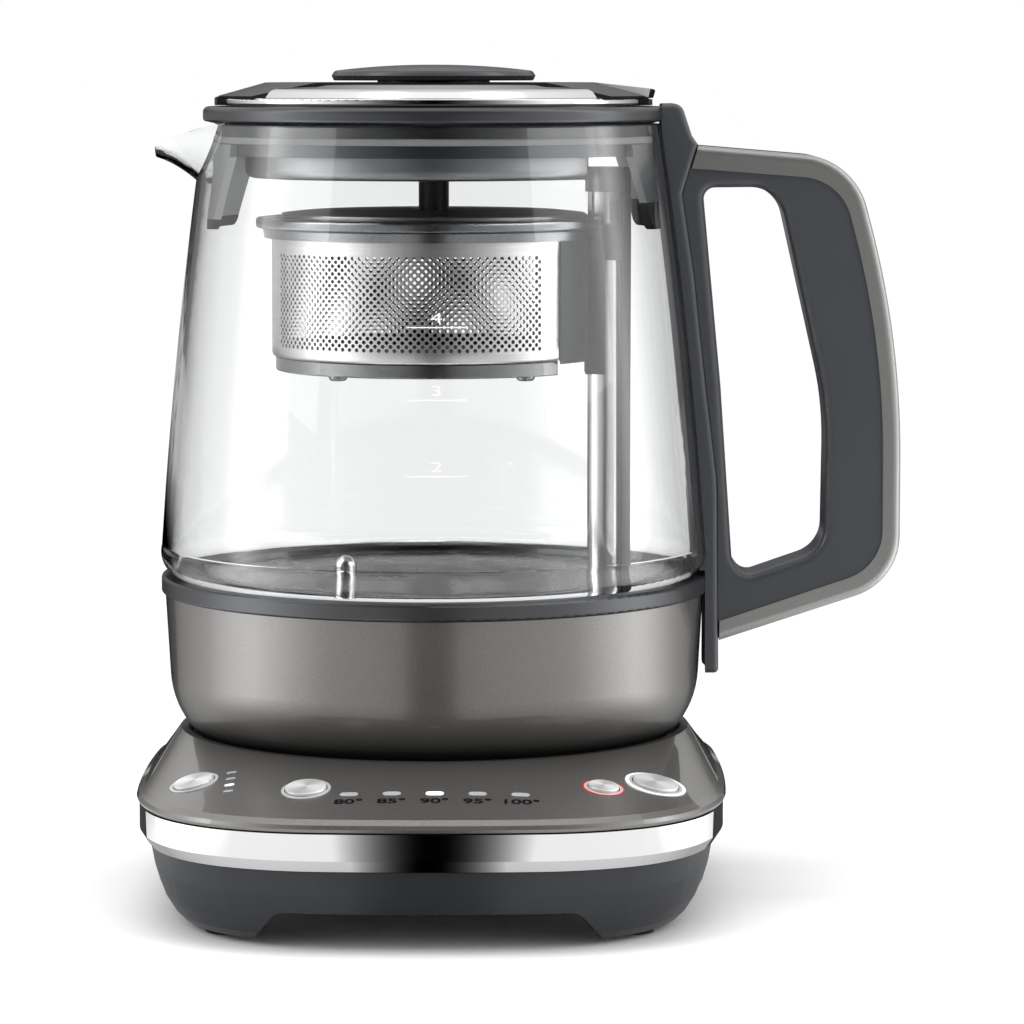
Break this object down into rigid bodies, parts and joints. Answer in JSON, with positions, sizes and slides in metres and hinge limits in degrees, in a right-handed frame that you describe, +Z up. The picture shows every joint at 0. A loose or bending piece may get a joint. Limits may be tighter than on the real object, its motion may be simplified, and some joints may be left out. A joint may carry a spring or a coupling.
{
  "type": "automatic tea maker",
  "caption": "Glass tea maker jug with a tea basket that slides down an inner column, a lift-off lid and a round swivel seat on a heated control base.",
  "frame": {"origin": "on the jug's axis, at the plane of the feet", "axes": "+X towards the handle, -Y towards the control panel, +Z up"},
  "size_m": [0.2023, 0.18, 0.2202],
  "materials": {
    "shell_paint": "metallic satin warm grey",
    "polished_metal": "mirror polished",
    "gloss_black": "gloss",
    "dark_plastic": "satin",
    "tub_plastic": "satin",
    "grip_plastic": "soft satin",
    "trim_metal": "metallic satin",
    "clear_glass": "clear",
    "rubber_black": "matt",
    "button_steel": "circular brushed",
    "stainless": "satin",
    "red_lens": "clear red",
    "white_lens": "frosted white",
    "board_green": "solder mask",
    "inner_plastic": "moulded",
    "magnet_metal": "nickel",
    "brass_pin": "bare",
    "silicone": "matt silicone"
  },
  "bodies": {
    "base": {"base_top_shell": "shell_paint", "base_trim_band": "polished_metal", "base_band_carrier": "gloss_black", "base_lower_tub": "tub_plastic", "base_screws": "stainless", "rubber_feet": "rubber_black", "cord_inlet_bush": "rubber_black", "control_board": "board_green", "power_board": "board_green", "power_components": "inner_plastic", "sounder": "gloss_black", "panel_switches": "gloss_black", "button_bezels": "dark_plastic", "start_halo": "white_lens", "warm_halo": "red_lens", "strength_lenses": "white_lens", "temperature_lenses": "white_lens", "connector_plug": "gloss_black", "connector_pin": "brass_pin"},
    "strength_key": {"strength_button": "button_steel"},
    "temperature_key": {"temperature_button": "button_steel"},
    "warm_key": {"warm_button": "button_steel"},
    "start_key": {"start_button": "button_steel"},
    "coupler": {"connector_socket": "gloss_black"},
    "jug": {"glass_jug": "clear_glass", "top_seal": "silicone", "bottom_seal": "silicone", "shoulder_ring": "dark_plastic", "housing_shell": "shell_paint", "heating_plate": "stainless", "heating_element": "stainless", "temperature_sensor": "stainless", "jug_bottom_cover": "tub_plastic", "lift_motor": "inner_plastic", "column_tube": "stainless", "column_cap": "dark_plastic", "column_rail": "dark_plastic", "top_collar": "dark_plastic", "spout_tongue": "dark_plastic", "handle_tongue": "dark_plastic", "tongue_boots": "rubber_black", "handle_spine": "grip_plastic", "handle_grip": "grip_plastic", "handle_trim": "trim_metal"},
    "screw": {"lift_screw": "stainless"},
    "carriage": {"magnet_carriage": "magnet_metal"},
    "basket": {"basket_drum": "stainless", "basket_rim": "dark_plastic", "basket_foot_rim": "dark_plastic", "basket_bracket": "dark_plastic", "basket_magnets": "magnet_metal"},
    "basket_cover": {"basket_lid": "dark_plastic", "basket_post": "dark_plastic"},
    "lid": {"lid_plate": "polished_metal", "lid_bridge": "dark_plastic", "lid_skirt": "dark_plastic", "lid_seal": "silicone", "lid_knob": "dark_plastic", "lid_tab": "polished_metal", "lid_tab_tip": "gloss_black"}
  },
  "joints": [
    {"name": "jug_lift", "type": "slide", "parent": "base", "child": "coupler", "axis": [0, 0, 1], "range_m": [0, 0.08]},
    {"name": "jug_turn", "type": "hinge", "parent": "coupler", "child": "jug", "pos_m": [0, 0, 0], "axis": [0, 0, 1], "continuous": true},
    {"name": "lid_lift", "type": "slide", "parent": "jug", "child": "lid", "axis": [0, 0, 1], "range_m": [0, 0.06]},
    {"name": "basket_drop", "type": "slide", "parent": "jug", "child": "basket", "axis": [0, 0, 1], "range_m": [-0.048, 0]},
    {"name": "carriage_slide", "type": "slide", "parent": "jug", "child": "carriage", "axis": [0, 0, 1], "range_m": [-0.048, 0]},
    {"name": "screw_turn", "type": "hinge", "parent": "jug", "child": "screw", "pos_m": [0.046, 0, 0.1], "axis": [0, 0, 1], "range_deg": [-4330, 10]},
    {"name": "basket_lid_turn", "type": "hinge", "parent": "basket", "child": "basket_cover", "pos_m": [0, 0, 0], "axis": [0, 0, 1], "range_deg": [0, 40]},
    {"name": "strength_press", "type": "slide", "parent": "base", "child": "strength_key", "axis": [0.2247, 0.1593, -0.9613], "range_m": [0, 0.0008], "stiffness_N_per_m": 400, "springref_m": -0.0004},
    {"name": "temperature_press", "type": "slide", "parent": "base", "child": "temperature_key", "axis": [0.0692, 0.2178, -0.9735], "range_m": [0, 0.0008], "stiffness_N_per_m": 400, "springref_m": -0.0004},
    {"name": "warm_press", "type": "slide", "parent": "base", "child": "warm_key", "axis": [-0.1149, 0.1942, -0.9742], "range_m": [0, 0.0008], "stiffness_N_per_m": 400, "springref_m": -0.0004},
    {"name": "start_press", "type": "slide", "parent": "base", "child": "start_key", "axis": [-0.197, 0.1661, -0.9662], "range_m": [0, 0.0008], "stiffness_N_per_m": 400, "springref_m": -0.0004}
  ],
  "couplings": [
    {"joint": "carriage_slide", "follows": "basket_drop", "ratio": 1},
    {"joint": "screw_turn", "follows": "basket_drop", "rad_per_m": 1570.8}
  ]
}
